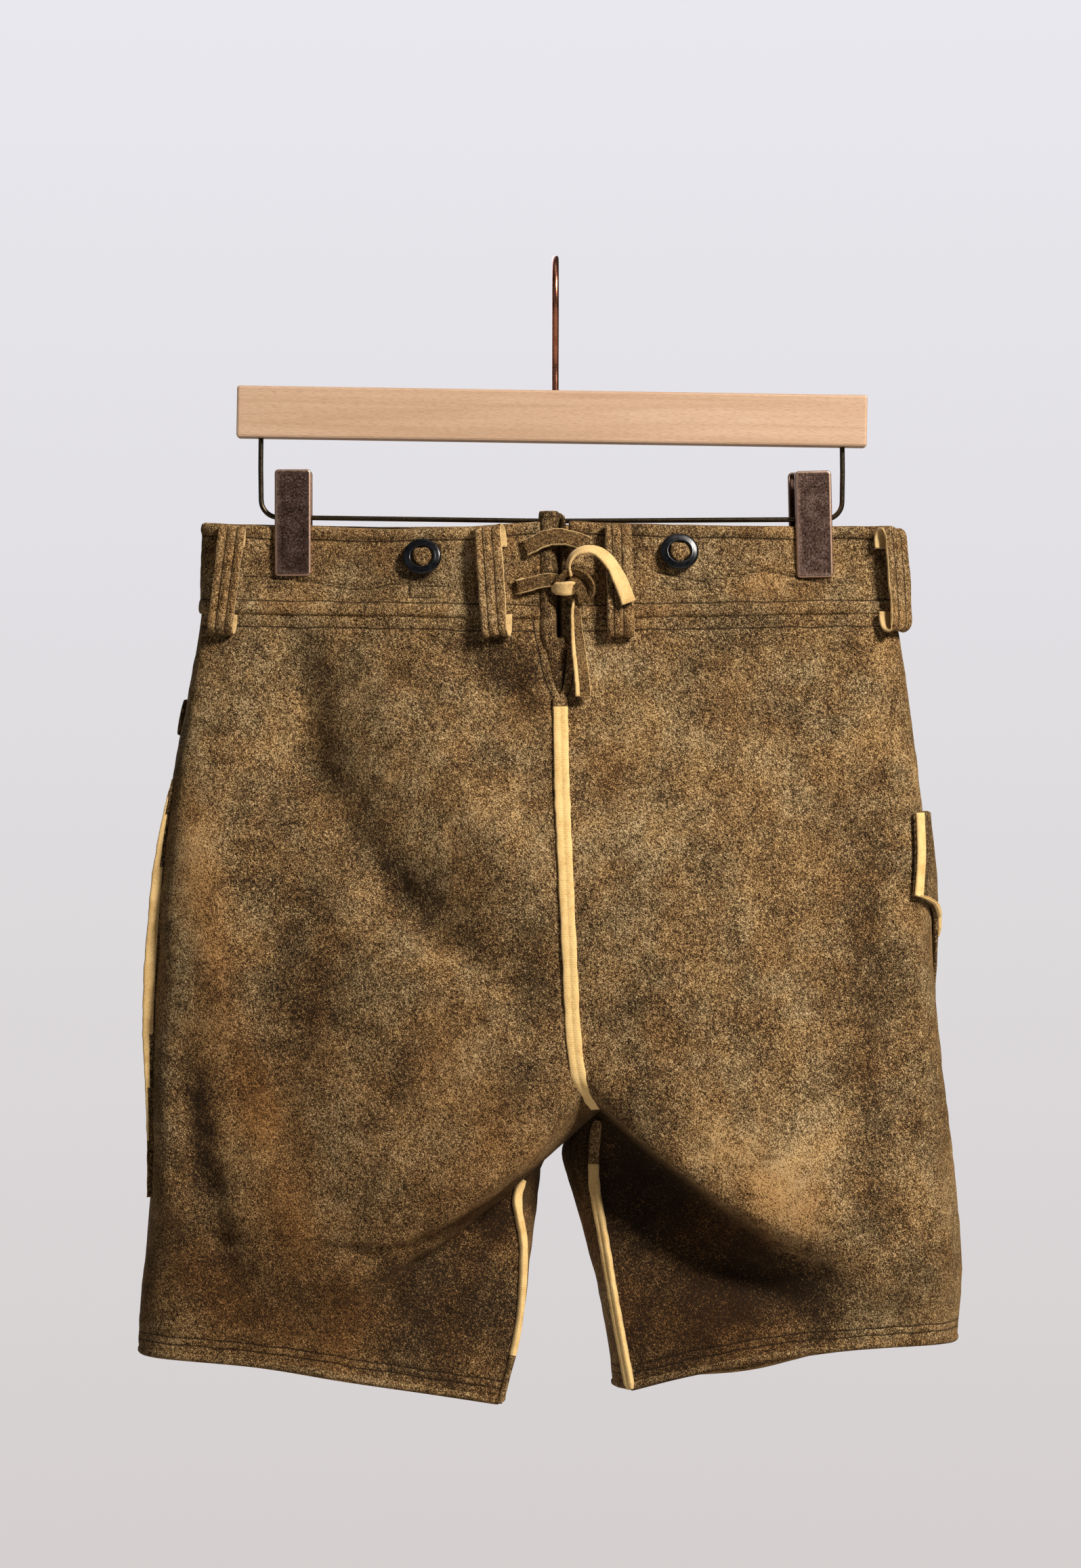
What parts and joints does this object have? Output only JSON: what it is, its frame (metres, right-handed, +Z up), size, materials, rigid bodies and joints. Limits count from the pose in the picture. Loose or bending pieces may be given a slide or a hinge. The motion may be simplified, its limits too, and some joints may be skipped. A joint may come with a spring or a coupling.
{
  "type": "lederhosen on a clip hanger",
  "caption": "Short thick suede leather breeches with a laced back vent, belt loops and brace buttons, held by the waistband in a wooden clip hanger.",
  "frame": {"origin": "inside of the hook's crown, where the hanger rests on its rail", "axes": "+Z up, +Y towards the wearer's front, +X towards the wearer's right"},
  "size_m": [0.4711, 0.1203, 0.6567],
  "materials": {
    "suede": "olive-brown chamois-tanned nap, golden tan where it is rubbed",
    "pale_buckskin": "pale undyed buckskin welt, matte",
    "thong_leather": "brown grain face, pale flesh side",
    "horn": "black turned horn, satin",
    "beech": "pale varnished beech",
    "antique_copper": "antique copper plate, bright on its worn edges",
    "copper_wire": "bright copper-plated wire",
    "bronze_wire": "dark bronze-plated steel wire"
  },
  "bodies": {
    "root": {"back_left": "suede", "back_right": "suede", "belt_loop_centre_left": "suede", "belt_loop_centre_right": "suede", "belt_loop_front_left": "suede", "belt_loop_front_right": "suede", "belt_loop_left": "suede", "belt_loop_right": "suede", "brace_button_back_left_ring": "horn", "brace_button_back_left_tab": "suede", "brace_button_back_right_ring": "horn", "brace_button_back_right_tab": "suede", "brace_button_front_left_ring": "horn", "brace_button_front_left_tab": "suede", "brace_button_front_right_ring": "horn", "brace_button_front_right_tab": "suede", "clip_left_front_jaw": "antique_copper", "clip_left_rear_jaw": "antique_copper", "clip_left_spring": "bronze_wire", "clip_right_front_jaw": "antique_copper", "clip_right_rear_jaw": "antique_copper", "clip_right_spring": "bronze_wire", "flap_button_left_ring": "horn", "flap_button_left_tab": "suede", "flap_button_right_ring": "horn", "flap_button_right_tab": "suede", "front_flap": "suede", "front_left": "suede", "front_right": "suede", "gusset_pleat": "suede", "gusset_sheet": "suede", "hanger_bar": "beech", "hanger_frame": "bronze_wire", "hanger_hook": "copper_wire", "hem_left": "suede", "hem_right": "suede", "knife_pocket": "suede", "knife_pocket_welt": "pale_buckskin", "lace_end_hanging": "thong_leather", "lace_end_rising": "thong_leather", "lace_knot": "thong_leather", "lace_rung_lower": "thong_leather", "lace_rung_upper": "thong_leather", "side_tab": "suede", "waistband_back_left": "suede", "waistband_back_right": "suede", "waistband_front_left": "suede", "waistband_front_right": "suede", "welt_centre_back": "pale_buckskin", "welt_inseam_left": "pale_buckskin", "welt_inseam_right": "pale_buckskin", "welt_side_left": "pale_buckskin"}
  },
  "joints": []
}
